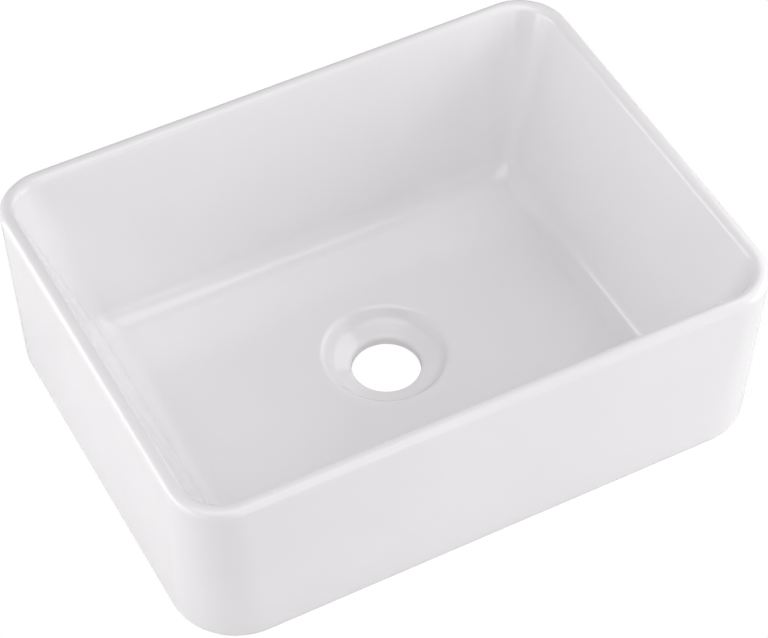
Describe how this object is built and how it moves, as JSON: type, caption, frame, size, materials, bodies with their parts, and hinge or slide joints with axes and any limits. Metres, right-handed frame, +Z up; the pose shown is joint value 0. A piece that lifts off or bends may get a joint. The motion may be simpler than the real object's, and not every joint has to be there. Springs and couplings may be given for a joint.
{
  "type": "countertop basin",
  "caption": "Rectangular countertop basin in white glazed ceramic, with a thin rounded rim, sloping inner walls, a flat floor and an open dished waste hole.",
  "frame": {"origin": "bottom centre of the basin on the counter surface; the waste hole's axis is at x = +3.5 mm", "axes": "+X along the long side to the right, +Y to the rear, +Z up out of the bowl; the picture's near long side faces -Y"},
  "size_m": [0.3998, 0.3048, 0.13],
  "materials": {
    "glaze": "white high-gloss glaze, unglazed ground foot",
    "pad": "clear soft adhesive pad, satin"
  },
  "bodies": {
    "root": {"basin_body": "glaze", "foot_pad_front_left": "pad", "foot_pad_front_right": "pad", "foot_pad_rear_left": "pad", "foot_pad_rear_right": "pad"}
  },
  "joints": []
}
